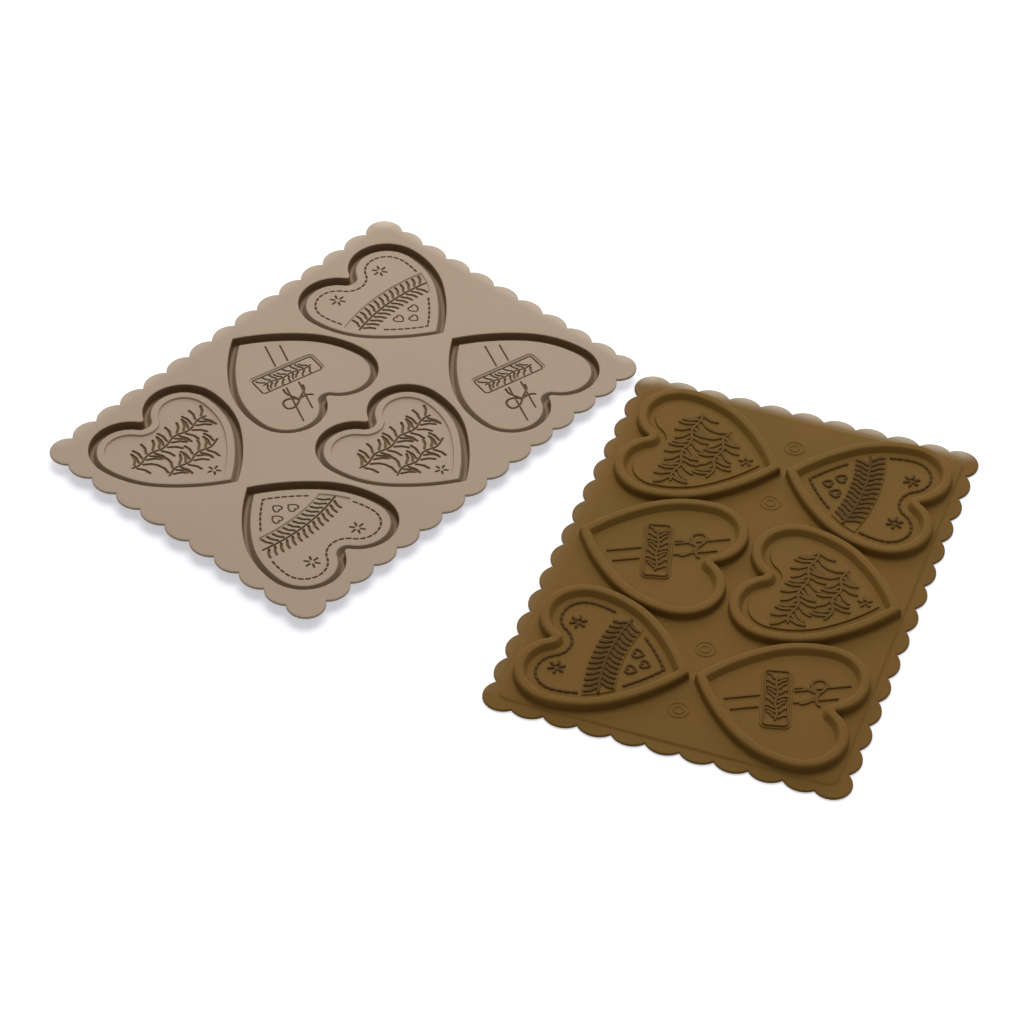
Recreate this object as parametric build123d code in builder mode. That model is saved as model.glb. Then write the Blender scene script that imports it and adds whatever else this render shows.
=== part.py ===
"""Two flexible baking mats of one mould, each with six heart-shaped cavities.

Both mats come out of the same mould function. One lies with its cavities up,
standing on the rounded walls of its cutting grooves. The other lies face down
beside it, so its underside shows. All sizes are in millimetres and +Z is up.
"""
from build123d import *

import os
from math import atan2, cos, degrees, radians, sin, sqrt, tan

# Driving dimensions: the heart rim, four tangent arcs on each side
LOBE_CENTRE_X = 18.2
LOBE_CENTRE_Y = 16.9
LOBE_RADIUS = 19.6
CLEFT_RADIUS = 1.8
SHOULDER_ANGLE = 1.5
SHOULDER_RADIUS = 48.7
FLANK_ANGLE = 38.3
FLANK_RADIUS = 100.3

# Driving dimensions: how the hearts are set out on the sheet
HEART_INTERLOCK = 2.8
HEART_ROW_GAP = 6.2
FIELD_MARGIN = 2.9
FIELD_CORNER_RADIUS = 5.0
FRINGE_WIDTH = 7.0
FRINGE_THICKNESS = 1.4
FIELD_THICKNESS = 2.0

# Driving dimensions: the scalloped edge
SCALLOP_PITCH = 15.9
SCALLOP_RADIUS = 10.6
CORNER_LOBE_RADIUS = 9.3
SHORTEST_END_RUN = 22.0

# Driving dimensions: pocket, groove and the wall around the groove
POCKET_DEPTH = 1.6
PANEL_THICKNESS = 2.0
GROOVE_WIDTH = 4.0
GROOVE_DEPTH = 5.0
WALL_THICKNESS = 1.5
GROOVE_BEVEL = 1.2

# Driving dimensions: relief on the pocket panels
INNER_HEART_OFFSET = 7.4
INNER_HEART_STEP = 0.9
BAND_RADIUS = 95.0
BAND_HEIGHT = 15.0
BAND_STEP = 0.6
PLAQUE_LENGTH = 37.0
PLAQUE_HEIGHT = 14.0
PLAQUE_CORNER_RADIUS = 3.0
PLAQUE_TURN = -14.0
PLAQUE_STEP = 0.6
RIBBON_LINE_WIDTH = 1.0
RIBBON_WIDTH = 7.0
RIBBON_TURN = 62.0

# Driving dimensions: how the face-down mat lies beside the other one
MAT_GAP = 1.0
SECOND_MAT_SHIFT = 40.4
SECOND_MAT_TURN = -158.3

# Overrun of the cutting solids above the sheet
CLEARANCE = 1.0


def on_circle(centre, radius, angle):
    """Point on a circle, the angle counted clockwise from +X in degrees."""
    a = radians(angle)
    return (centre[0] + radius * cos(a), centre[1] - radius * sin(a))


def heart_centres():
    """Centres of the four tangent arcs on the right half of the heart."""
    lobe = (LOBE_CENTRE_X, LOBE_CENTRE_Y)
    reach = sqrt((LOBE_RADIUS + CLEFT_RADIUS) ** 2 - LOBE_CENTRE_X ** 2)
    cleft = (0, LOBE_CENTRE_Y + reach)
    shoulder = on_circle(lobe, LOBE_RADIUS - SHOULDER_RADIUS, SHOULDER_ANGLE)
    flank = on_circle(shoulder, SHOULDER_RADIUS - FLANK_RADIUS, FLANK_ANGLE)
    return cleft, lobe, shoulder, flank


def tip_angle(grow):
    """Angle on the flank arc at which a heart grown by `grow` meets its axis."""
    flank = heart_centres()[-1]
    return degrees(atan2(sqrt((FLANK_RADIUS + grow) ** 2 - flank[0] ** 2), -flank[0]))


def tip_height():
    """Height of the heart's tip on its own axis, a negative number."""
    flank = heart_centres()[-1]
    return flank[1] - sqrt(FLANK_RADIUS ** 2 - flank[0] ** 2)


def add_half_heart_path(grow, end_angle):
    """Tangent arcs from the cleft over the lobe and down the flank."""
    cleft, lobe, shoulder, flank = heart_centres()
    turn = degrees(atan2(cleft[1] - lobe[1], lobe[0]))
    stations = (
        (cleft, CLEFT_RADIUS - grow, 90, turn),
        (lobe, LOBE_RADIUS + grow, turn - 180, SHOULDER_ANGLE),
        (shoulder, SHOULDER_RADIUS + grow, SHOULDER_ANGLE, FLANK_ANGLE),
        (flank, FLANK_RADIUS + grow, FLANK_ANGLE, end_angle),
    )
    for centre, radius, start, end in stations:
        middle = (start + end) / 2
        ThreePointArc(
            on_circle(centre, radius, start),
            on_circle(centre, radius, middle),
            on_circle(centre, radius, end),
        )


# Sizes that follow from the driving dimensions
HEART_WIDTH = 2 * (LOBE_CENTRE_X + LOBE_RADIUS)
HEART_HEIGHT = LOBE_CENTRE_Y + LOBE_RADIUS - tip_height()
COLUMN_SPACING = HEART_WIDTH - HEART_INTERLOCK
ROW_SPACING = HEART_HEIGHT + HEART_ROW_GAP
FIELD_LENGTH = 2 * COLUMN_SPACING + HEART_WIDTH + 2 * FIELD_MARGIN
FIELD_WIDTH = ROW_SPACING + HEART_HEIGHT + 2 * FIELD_MARGIN
MAT_LENGTH = FIELD_LENGTH + 2 * FRINGE_WIDTH
MAT_WIDTH = FIELD_WIDTH + 2 * FRINGE_WIDTH
WALL_BEVEL = GROOVE_BEVEL + WALL_THICKNESS * tan(radians(22.5))
MAT_HEIGHT = GROOVE_DEPTH + WALL_THICKNESS


def heart_sketch(grow):
    """Filled heart, a parallel of the rim grown by `grow` (negative: shrunk)."""
    with BuildSketch() as sketch:
        with BuildLine():
            add_half_heart_path(grow, tip_angle(grow))
            mirror(about=Plane.YZ)
        make_face()
    return sketch.sketch


def heart_plate(grow, top, bottom):
    """Heart-shaped plate between two heights."""
    heart = heart_sketch(grow)
    with BuildPart() as plate:
        with BuildSketch(Plane.XY.offset(bottom)):
            add(heart)
        extrude(amount=top - bottom)
    return plate.part


def channel_section(inner, outer, top, bottom, bevel, plane):
    """Section of the groove or its wall: upright sides and a bevelled bottom."""
    with BuildSketch(plane) as section:
        with BuildLine():
            Polyline(
                (outer, top),
                (outer, bottom + bevel),
                (outer - bevel, bottom),
                (inner + bevel, bottom),
                (inner, bottom + bevel),
                (inner, top),
                close=True,
            )
        make_face()
    return section.sketch


def swept_heart(inner, outer, top, bottom, bevel):
    """Section swept round half the heart, mitred at the tip and mirrored."""
    tip_overrun = 7.0
    start = (0, heart_centres()[0][1] - CLEFT_RADIUS, 0)
    plane = Plane(origin=start, x_dir=(0, 1, 0), z_dir=(1, 0, 0))
    section = channel_section(inner, outer, top, bottom, bevel, plane)
    with BuildLine() as path:
        add_half_heart_path(0, tip_angle(0) + tip_overrun)
    with BuildPart() as half:
        sweep(sections=section, path=path.line)
        split(bisect_by=Plane.YZ, keep=Keep.TOP)
    with BuildPart() as ring:
        add(half.part)
        mirror(half.part, about=Plane.YZ)
    return ring.part


def groove_void():
    """Room inside the cutting groove."""
    return swept_heart(-GROOVE_WIDTH, 0, CLEARANCE, -GROOVE_DEPTH, GROOVE_BEVEL)


def groove_wall():
    """Wall that hangs below the sheet round the groove."""
    inner = -GROOVE_WIDTH - WALL_THICKNESS
    top = -FRINGE_THICKNESS / 2
    return swept_heart(inner, WALL_THICKNESS, top, -MAT_HEIGHT, WALL_BEVEL)


def lobes_along(side):
    """How many lobes fit between the two corner lobes of one side."""
    return int((side - 2 * SHORTEST_END_RUN) / SCALLOP_PITCH) + 1


def scalloped_outline():
    """Sheet outline: a rectangle edged with round lobes."""
    lobe_y = MAT_WIDTH / 2 - SCALLOP_RADIUS
    lobe_x = MAT_LENGTH / 2 - SCALLOP_RADIUS
    corner_x = MAT_LENGTH / 2 - CORNER_LOBE_RADIUS
    corner_y = MAT_WIDTH / 2 - CORNER_LOBE_RADIUS
    with BuildSketch() as sketch:
        Rectangle(2 * corner_x, 2 * lobe_y)
        Rectangle(2 * lobe_x, 2 * corner_y)
        with GridLocations(SCALLOP_PITCH, 2 * lobe_y, lobes_along(MAT_LENGTH), 2):
            Circle(SCALLOP_RADIUS)
        with GridLocations(2 * lobe_x, SCALLOP_PITCH, 2, lobes_along(MAT_WIDTH)):
            Circle(SCALLOP_RADIUS)
        with GridLocations(2 * corner_x, 2 * corner_y, 2, 2):
            Circle(CORNER_LOBE_RADIUS)
    return sketch.sketch


def sheet():
    """Thin scalloped fringe with the thicker field inside it."""
    outline = scalloped_outline()
    with BuildPart() as part:
        with BuildSketch(Plane.XY.offset(-FRINGE_THICKNESS)):
            add(outline)
        extrude(amount=FRINGE_THICKNESS)
        with BuildSketch(Plane.XY.offset(-FIELD_THICKNESS)):
            RectangleRounded(FIELD_LENGTH, FIELD_WIDTH, FIELD_CORNER_RADIUS)
        extrude(amount=FIELD_THICKNESS)
    return part.part


def curved_band():
    """Room of the curved band across a stitched heart."""
    middle = -BAND_RADIUS
    panel = heart_sketch(-GROOVE_WIDTH - WALL_THICKNESS)
    with BuildPart() as part:
        with BuildSketch(Plane.XY.offset(-POCKET_DEPTH - BAND_STEP)):
            with Locations((0, middle)):
                Circle(BAND_RADIUS + BAND_HEIGHT / 2)
                Circle(BAND_RADIUS - BAND_HEIGHT / 2, mode=Mode.SUBTRACT)
            add(panel, mode=Mode.INTERSECT)
        extrude(amount=BAND_STEP + CLEARANCE)
    return part.part


def plaque_and_ribbon():
    """Room of the blank plaque and of the four edge lines of its ribbons."""
    panel = heart_sketch(-GROOVE_WIDTH - WALL_THICKNESS)
    with BuildPart() as part:
        with BuildSketch(Plane.XY.offset(-POCKET_DEPTH - PLAQUE_STEP)):
            with Locations(Rotation(0, 0, PLAQUE_TURN)):
                RectangleRounded(PLAQUE_LENGTH, PLAQUE_HEIGHT, PLAQUE_CORNER_RADIUS)
            for side in (-RIBBON_WIDTH / 2, RIBBON_WIDTH / 2):
                with Locations(Rotation(0, 0, RIBBON_TURN) * Pos(0, side)):
                    Rectangle(MAT_WIDTH, RIBBON_LINE_WIDTH)
            add(panel, mode=Mode.INTERSECT)
        extrude(amount=PLAQUE_STEP + CLEARANCE)
    return part.part


def inner_heart_void():
    """Room of the second, smaller heart step."""
    return heart_plate(-INNER_HEART_OFFSET, 0, -POCKET_DEPTH - INNER_HEART_STEP)


def heart_layout():
    """Where each heart sits and how it is turned, for each kind of relief."""
    x = COLUMN_SPACING
    y = ROW_SPACING / 2
    return {
        "stepped": (Pos(-x, y), Pos(0, -y)),
        "ribbon": (Pos(0, y) * Rot(0, 0, 180), Pos(x, -y) * Rot(0, 0, 180)),
        "stitched": (Pos(x, y), Pos(-x, -y) * Rot(0, 0, 180)),
    }


def moulded_mat():
    """One mat in its own frame: cavities open upwards at z = 0."""
    layout = heart_layout()
    everywhere = [place for places in layout.values() for place in places]
    panel_bottom = -POCKET_DEPTH - PANEL_THICKNESS
    seat = WALL_THICKNESS / 2
    panel = heart_plate(-GROOVE_WIDTH - seat, -FRINGE_THICKNESS, panel_bottom)
    step = heart_plate(seat - INNER_HEART_OFFSET, -POCKET_DEPTH, panel_bottom - INNER_HEART_STEP)
    pocket = heart_plate(0, CLEARANCE, -POCKET_DEPTH)
    blank = sheet()
    wall = groove_wall()
    groove = groove_void()
    inner_heart = inner_heart_void()
    band = curved_band()
    plaque = plaque_and_ribbon()
    with BuildPart() as mat:
        add(blank)
        with Locations(*everywhere):
            add(wall)
            add(panel)
        with Locations(*layout["stepped"]):
            add(step)
        with Locations(*everywhere):
            add(pocket, mode=Mode.SUBTRACT)
            add(groove, mode=Mode.SUBTRACT)
        with Locations(*layout["stepped"]):
            add(inner_heart, mode=Mode.SUBTRACT)
        with Locations(*layout["stitched"]):
            add(band, mode=Mode.SUBTRACT)
        with Locations(*layout["ribbon"]):
            add(plaque, mode=Mode.SUBTRACT)
    return mat.part


def pair_places(mat):
    """Places of the two mats, with the middle of the pair on the origin."""
    turned = Rot(0, 0, SECOND_MAT_TURN) * Rot(180, 0, 0)
    first_box = mat.bounding_box()
    turned_box = (turned * mat).bounding_box()
    drop = first_box.min.Y - MAT_GAP - turned_box.max.Y
    low_x = min(first_box.min.X, turned_box.min.X + SECOND_MAT_SHIFT)
    high_x = max(first_box.max.X, turned_box.max.X + SECOND_MAT_SHIFT)
    middle_x = (low_x + high_x) / 2
    middle_y = (first_box.max.Y + turned_box.min.Y + drop) / 2
    first = Pos(-middle_x, -middle_y, MAT_HEIGHT)
    second = Pos(SECOND_MAT_SHIFT - middle_x, drop - middle_y) * turned
    return first, second


os.makedirs("parts", exist_ok=True)
mat = moulded_mat()
first_place, second_place = pair_places(mat)

with BuildPart() as mat_cavities_up:
    with Locations(first_place):
        add(mat)
mat_cavities_up.part.label = "mat_cavities_up"
export_step(mat_cavities_up.part, "parts/mat_cavities_up.step")

with BuildPart() as mat_face_down:
    with Locations(second_place):
        add(mat)
mat_face_down.part.label = "mat_face_down"
export_step(mat_face_down.part, "parts/mat_face_down.step")

print("mat", round(MAT_LENGTH, 2), round(MAT_WIDTH, 2), round(MAT_HEIGHT, 2))
print("mat_cavities_up at", first_place.position)
print("mat_face_down at", second_place.position)
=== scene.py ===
# %% [markdown]
# Two thin silicone mats of one mould lie on a white table. One has its heart
# cavities up, the other lies face down and shows its underside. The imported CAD
# model gives their sizes and places, so it is loaded first and nothing is
# fitted by eye afterwards.

# %% Load the frame
import math
from itertools import product

import bmesh
import bpy
import numpy as np
from mathutils import Matrix, Vector
from mathutils.geometry import delaunay_2d_cdt


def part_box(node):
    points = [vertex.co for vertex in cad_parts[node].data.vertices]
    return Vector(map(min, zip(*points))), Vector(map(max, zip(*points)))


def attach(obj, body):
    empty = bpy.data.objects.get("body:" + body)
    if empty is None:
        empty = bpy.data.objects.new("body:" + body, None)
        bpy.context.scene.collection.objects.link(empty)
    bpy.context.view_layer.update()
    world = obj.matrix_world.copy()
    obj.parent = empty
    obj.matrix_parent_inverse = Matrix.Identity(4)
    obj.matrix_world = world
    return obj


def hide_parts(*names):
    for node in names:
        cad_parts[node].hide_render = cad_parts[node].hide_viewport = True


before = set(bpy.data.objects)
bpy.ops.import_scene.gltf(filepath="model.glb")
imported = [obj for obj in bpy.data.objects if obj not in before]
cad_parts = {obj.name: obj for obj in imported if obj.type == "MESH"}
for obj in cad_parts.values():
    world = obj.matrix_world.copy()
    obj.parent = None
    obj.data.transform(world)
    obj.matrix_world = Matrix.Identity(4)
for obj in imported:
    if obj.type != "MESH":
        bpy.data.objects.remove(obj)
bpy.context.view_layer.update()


# %% [markdown]
# Everything below is worked out in millimetres in the mould's own frame: x along
# the long side, y along the short side, and z = 0 on the flat upper face. The
# sizes are the ones that the CAD model was built with.

# %% Sizes of one mat, in millimetres
LOBE_X, LOBE_Y, LOBE_RADIUS = 18.2, 16.9, 19.6
CLEFT_RADIUS, LEAST_CLEFT_RADIUS = 1.8, 0.3
SHOULDER_ANGLE, SHOULDER_RADIUS = 1.5, 48.7
FLANK_ANGLE, FLANK_RADIUS = 38.3, 100.3
COLUMN_SPACING, ROW_SPACING = 72.8, 79.2
SCALLOP_PITCH, SCALLOP_RADIUS, CORNER_LOBE_RADIUS = 15.9, 10.6, 9.3
LONG_SIDE_LOBES, SHORT_SIDE_LOBES = 13, 9
FRINGE_WIDTH, FRINGE_THICKNESS, FIELD_THICKNESS = 7.0, 1.4, 2.0
POCKET_DEPTH, PANEL_THICKNESS = 1.6, 2.0
GROOVE_WIDTH, GROOVE_DEPTH, WALL_THICKNESS = 4.0, 5.0, 1.5
INNER_HEART_OFFSET, INNER_HEART_STEP = 7.4, 0.9
BAND_RADIUS, BAND_HEIGHT, BAND_STEP = 95.0, 15.0, 0.6
PLAQUE_LENGTH, PLAQUE_HEIGHT, PLAQUE_CORNER = 37.0, 14.0, 3.0
PLAQUE_TURN, PLAQUE_STEP = -14.0, 0.6
RIBBON_WIDTH, RIBBON_LINE_WIDTH, RIBBON_TURN = 7.0, 1.0, 62.0
SECOND_MAT_TURN = -158.3
MM = 0.001

first_low, first_high = (np.array(corner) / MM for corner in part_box("mat_cavities_up"))
second_low, second_high = (np.array(corner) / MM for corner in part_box("mat_face_down"))
MAT_LENGTH, MAT_WIDTH, MAT_HEIGHT = first_high - first_low
print("mat", round(MAT_LENGTH, 2), round(MAT_WIDTH, 2), round(MAT_HEIGHT, 2))

# %% [markdown]
# Half of the heart is four arcs that run smoothly into each other: the rounded
# cleft, the lobe, the shoulder and the flank. Arcs are worth the trouble here,
# because a parallel of an arc is an arc with another radius. Every line of the
# groove, its wall and the steps inside is such a parallel of the rim.

# %% Heart outline and its parallels
def arc_point(centre, radius, angle):
    """Point on an arc, the angle in degrees and counted clockwise from +x."""
    a = math.radians(angle)
    return (centre[0] + radius * math.cos(a), centre[1] - radius * math.sin(a))


def heart_arcs(grow):
    """Centre, radius, start and end angle of each arc on the right half."""
    notch = max(CLEFT_RADIUS - grow, LEAST_CLEFT_RADIUS)
    lobe = (LOBE_X, LOBE_Y)
    reach = math.sqrt((LOBE_RADIUS + grow + notch) ** 2 - LOBE_X ** 2)
    turn = math.degrees(math.atan2(reach, LOBE_X))
    shoulder = arc_point(lobe, LOBE_RADIUS - SHOULDER_RADIUS, SHOULDER_ANGLE)
    flank = arc_point(shoulder, SHOULDER_RADIUS - FLANK_RADIUS, FLANK_ANGLE)
    tip = math.degrees(math.acos(-flank[0] / (FLANK_RADIUS + grow)))
    return (
        ((0.0, LOBE_Y + reach), notch, 90.0, turn),
        (lobe, LOBE_RADIUS + grow, turn - 180, SHOULDER_ANGLE),
        (shoulder, SHOULDER_RADIUS + grow, SHOULDER_ANGLE, FLANK_ANGLE),
        (flank, FLANK_RADIUS + grow, FLANK_ANGLE, tip),
    )


ARC_STEPS = (8, 60, 28, 30)


def heart_loop(grow):
    """Closed loop of points round a heart grown outwards by `grow`."""
    half = []
    for (centre, radius, start, end), steps in zip(heart_arcs(grow), ARC_STEPS):
        for i in range(steps):
            half.append(arc_point(centre, radius, start + (end - start) * i / steps))
    tip = arc_point(centre, radius, end)
    half[0] = (0.0, half[0][1])
    mirrored = [(-x, y) for x, y in reversed(half[1:])]
    return np.array(half + [(0.0, tip[1])] + mirrored)


loop = heart_loop(0)
print("heart", len(loop), "points,", np.round(loop.max(axis=0) - loop.min(axis=0), 1), "mm")

# %% [markdown]
# Later steps ask of any point how far it lies from the rim, to know whether it is
# in a groove, on the pocket floor or on the sheet. For arcs that is quick: it is
# the distance to the arc's centre less the arc's radius.

# %% Distance from the rim
FAR = 1e9
ANGLE_SLACK = 0.01


def rim_offset(points):
    """How far points lie outside the rim, negative inside it."""
    x, y = np.abs(points[:, 0]), points[:, 1]
    best = np.full(len(x), FAR)
    arcs = heart_arcs(0)
    for number, (centre, radius, start, end) in enumerate(arcs):
        dx, dy = x - centre[0], y - centre[1]
        angle = np.degrees(np.arctan2(-dy, dx))
        low = min(start, end) - ANGLE_SLACK
        high = max(start, end) if number < len(arcs) - 1 else 180.0
        inside = (angle >= low) & (angle <= high + ANGLE_SLACK)
        offset = np.hypot(dx, dy) - radius
        if number == 0:
            offset = -offset
        closer = inside & (np.abs(offset) < np.abs(best))
        best = np.where(closer, offset, best)
    return best


print("heart's middle lies", round(-float(rim_offset(np.zeros((1, 2)))[0]), 1), "mm inside the rim")

# %% [markdown]
# Moulded silicone has no sharp corners. A bevel modifier could round them, but it
# would round every edge alike. Here a section is drawn as a few straight runs,
# each corner with its own radius, and one helper turns the corners into arcs.

# %% Round the corners of a section
def rounded(corners, steps=5):
    """Polyline of (x, z, radius) corners with each corner turned into an arc."""
    points = [np.array(corners[0][:2])]
    for before, corner, after in zip(corners, corners[1:], corners[2:]):
        here, radius = np.array(corner[:2]), corner[2]
        back = np.array(before[:2]) - here
        ahead = np.array(after[:2]) - here
        back, ahead = back / np.linalg.norm(back), ahead / np.linalg.norm(ahead)
        half = math.acos(np.clip(back @ ahead, -1, 1)) / 2
        middle = back + ahead
        centre = here + middle / np.linalg.norm(middle) * radius / math.sin(half)
        first = here + back * radius / math.tan(half) - centre
        last = here + ahead * radius / math.tan(half) - centre
        a0, a1 = math.atan2(first[1], first[0]), math.atan2(last[1], last[0])
        a1 = a0 + (a1 - a0 + math.pi) % (2 * math.pi) - math.pi
        for i in range(steps + 1):
            a = a0 + (a1 - a0) * i / steps
            points.append(centre + radius * np.array((math.cos(a), math.sin(a))))
    points.append(np.array(corners[-1][:2]))
    return points


print("a square corner becomes", len(rounded(((1, 0, 0), (0, 0, 0.5), (0, 1, 0)))), "points")

# %% [markdown]
# Seen in section, the sheet dips into a narrow groove round each heart, climbs
# to the shallow pocket floor and carries on. Below, the groove shows as a ridge
# with a round crest. Each section is a list of places across the rim, counted
# outwards, with a height and a corner radius.

# %% Sections of the groove and of the ridge below it
PANEL_UNDERSIDE = POCKET_DEPTH + PANEL_THICKNESS
TOP_SHEET_EDGE, TOP_PANEL_EDGE = 0.7, -5.6
UNDER_SHEET_EDGE, UNDER_PANEL_EDGE = WALL_THICKNESS, -6.3
FOOT_RADIUS, INNER_LEAN = 0.8, 1.7
WALL_INNER, CREST_INNER = -4.7, -2.7
LIP_RADIUS, POCKET_LIP_RADIUS = 0.45, 0.5
OUTER_BOTTOM_RADIUS, INNER_BOTTOM_RADIUS = 1.2, 1.0
OUTER_CREST_RADIUS, INNER_CREST_RADIUS, INNER_FOOT_RADIUS = 1.5, 1.4, 0.6
GROOVE_DRAFT, RIDGE_DRAFT = 0.15, 0.2

top_section = rounded((
    (TOP_SHEET_EDGE, 0.0, 0),
    (0.0, 0.0, LIP_RADIUS),
    (-GROOVE_DRAFT, -GROOVE_DEPTH, OUTER_BOTTOM_RADIUS),
    (-GROOVE_WIDTH + INNER_LEAN, -GROOVE_DEPTH, INNER_BOTTOM_RADIUS),
    (-GROOVE_WIDTH, -POCKET_DEPTH, POCKET_LIP_RADIUS),
    (TOP_PANEL_EDGE, -POCKET_DEPTH, 0),
))
under_section = rounded((
    (UNDER_SHEET_EDGE, -FIELD_THICKNESS - FOOT_RADIUS, 0),
    (UNDER_SHEET_EDGE - RIDGE_DRAFT, -MAT_HEIGHT, OUTER_CREST_RADIUS),
    (CREST_INNER, -MAT_HEIGHT, INNER_CREST_RADIUS),
    (WALL_INNER, -PANEL_UNDERSIDE, INNER_FOOT_RADIUS),
    (UNDER_PANEL_EDGE, -PANEL_UNDERSIDE, 0),
), steps=9)
print("sections", len(top_section), "and", len(under_section), "rings")

# %% [markdown]
# The edge of the sheet is a row of round lobes, a smaller one on each corner. The
# lobes are circles at an even pitch. An array of cut-out discs could make them
# too, but a list of circles is all that the next steps need.

# %% Lobes of the scalloped edge
def scallop_circles():
    """Centre and radius of every lobe, clockwise from the top left corner."""
    lobe_x, lobe_y = MAT_LENGTH / 2 - SCALLOP_RADIUS, MAT_WIDTH / 2 - SCALLOP_RADIUS
    corner_x = MAT_LENGTH / 2 - CORNER_LOBE_RADIUS
    corner_y = MAT_WIDTH / 2 - CORNER_LOBE_RADIUS
    along_x = (np.arange(LONG_SIDE_LOBES) - (LONG_SIDE_LOBES - 1) / 2) * SCALLOP_PITCH
    along_y = (np.arange(SHORT_SIDE_LOBES) - (SHORT_SIDE_LOBES - 1) / 2) * SCALLOP_PITCH
    circles = [((-corner_x, corner_y), CORNER_LOBE_RADIUS)]
    circles += [((x, lobe_y), SCALLOP_RADIUS) for x in along_x]
    circles += [((corner_x, corner_y), CORNER_LOBE_RADIUS)]
    circles += [((lobe_x, y), SCALLOP_RADIUS) for y in along_y[::-1]]
    circles += [((corner_x, -corner_y), CORNER_LOBE_RADIUS)]
    circles += [((x, -lobe_y), SCALLOP_RADIUS) for x in along_x[::-1]]
    circles += [((-corner_x, -corner_y), CORNER_LOBE_RADIUS)]
    circles += [((-lobe_x, y), SCALLOP_RADIUS) for y in along_y]
    return circles


print("edge", len(scallop_circles()), "lobes")

# %% [markdown]
# Where two lobes meet there is a notch, and the place of each notch is plain
# geometry. Shrinking all circles by the same amount gives the next ring of the
# rounded edge, so that the edge keeps its roundness right into the notches.

# %% Scalloped outline and its rounded edge
def notch_between(one, other, inset):
    """Outer meeting point of two lobes that are both shrunk by `inset`."""
    c1, c2 = np.array(one[0]), np.array(other[0])
    r1, r2 = one[1] - inset, other[1] - inset
    gap = np.linalg.norm(c2 - c1)
    along = (r1 * r1 - r2 * r2 + gap * gap) / (2 * gap)
    out = math.sqrt(max(r1 * r1 - along * along, 0.0))
    direction = (c2 - c1) / gap
    return c1 + direction * along + np.array((-direction[1], direction[0])) * out


LOBE_STEPS = 14


def scallop_loop(inset):
    """Closed loop of points round the sheet, shrunk inwards by `inset`."""
    circles = scallop_circles()
    count = len(circles)
    loop = []
    for i, (centre, radius) in enumerate(circles):
        start = notch_between(circles[i - 1], circles[i], inset) - centre
        end = notch_between(circles[i], circles[(i + 1) % count], inset) - centre
        a0, a1 = math.atan2(start[1], start[0]), math.atan2(end[1], end[0])
        if a1 > a0:
            a1 -= 2 * math.pi
        for k in range(LOBE_STEPS):
            a = a0 + (a1 - a0) * k / LOBE_STEPS
            r = radius - inset
            loop.append((centre[0] + r * math.cos(a), centre[1] + r * math.sin(a)))
    return np.array(loop)


EDGE_ROUND = 0.45
edge_section = rounded((
    (2 * EDGE_ROUND, 0.0, 0),
    (0.0, 0.0, EDGE_ROUND),
    (0.0, -FRINGE_THICKNESS, EDGE_ROUND),
    (2 * EDGE_ROUND, -FRINGE_THICKNESS, 0),
), steps=4)
print("outline", len(scallop_loop(0)), "points, edge", len(edge_section), "rings")

# %% [markdown]
# The hearts carry shallow relief, moulded as strokes about a millimetre wide.
# They could be curve objects with a bevel, cut in with booleans. Plain runs of
# points with a width are lighter, and the mesh can follow them exactly. The first
# helpers draw a leafy vine.

# %% Strokes of a vine
LEAF_FOOT, LEAF_BEND = 0.9, 0.12
STEM_SHARE = 0.8


def leaf_pairs(path, reach, lean, width, every):
    """Leaves on both sides of a path, each one a short leaning stroke."""
    strokes = []
    path = np.array(path)
    for i in range(every // 2, len(path) - 1, every):
        ahead = path[i + 1] - path[i]
        ahead = ahead / np.linalg.norm(ahead)
        side = np.array((-ahead[1], ahead[0]))
        for sign in (1, -1):
            foot = path[i] + side * sign * width * LEAF_FOOT
            tip = foot + (ahead * math.cos(lean) + side * sign * math.sin(lean)) * reach
            bend = (foot + tip) / 2 + ahead * reach * LEAF_BEND
            strokes.append((np.array((foot, bend, tip)), width))
    return strokes


def wave(x0, x1, y, height, length, count):
    """Wavy line along x."""
    x = np.linspace(x0, x1, count)
    return np.stack((x, y + height * np.sin(2 * np.pi * x / length)), axis=1)


def vine(path, reach, lean, width, every):
    """Stem with leaves."""
    leaves = leaf_pairs(path, reach, lean, width, every)
    return [(np.array(path), width * STEM_SHARE)] + leaves


print("a short vine has", len(vine(wave(-25, 25, 0, 1, 17, 61), 6.9, 1.1, 1.5, 4)), "strokes")

# %% [markdown]
# Small flowers and small hearts fill the places beside the vines. A flower is a
# ring of short strokes, and a small heart is the mould's own outline made small.
# The curves of the bow further down are cubic ones, as in a drawing program.

# %% Strokes of flowers, small hearts and curves
PETAL_START = 0.45
HEART_WIDTH = 75.6


def ring_of_petals(centre, radius, petals, width, turn=0.0):
    """Small flower: short strokes that stand round a centre."""
    strokes = []
    for i in range(petals):
        a = turn + 2 * math.pi * i / petals
        d = np.array((math.cos(a), math.sin(a)))
        petal = np.array((centre + d * radius * PETAL_START, centre + d * radius))
        strokes.append((petal, width))
    return strokes


def small_heart(centre, size, width):
    """Closed outline of a little heart."""
    outline = heart_loop(0)[::6] * (size / HEART_WIDTH)
    outline = np.vstack((outline, outline[:1]))
    return [(outline + np.array(centre), width)]


def bezier(p0, p1, p2, p3, count=10):
    """Points on a cubic curve."""
    t = np.linspace(0, 1, count)[:, None]
    s = 1 - t
    p0, p1, p2, p3 = (np.array(p, dtype=float) for p in (p0, p1, p2, p3))
    return s ** 3 * p0 + 3 * t * s ** 2 * p1 + 3 * t * t * s * p2 + t ** 3 * p3


def turned(points, angle, move=(0.0, 0.0)):
    """Points turned about the origin, the angle in degrees, and then moved."""
    a = math.radians(angle)
    spin = np.array(((math.cos(a), math.sin(a)), (-math.sin(a), math.cos(a))))
    return np.array(points) @ spin + np.array(move)


print("a small heart has", len(small_heart((0, 0), 5.0, 0.9)[0][0]), "points")

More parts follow.
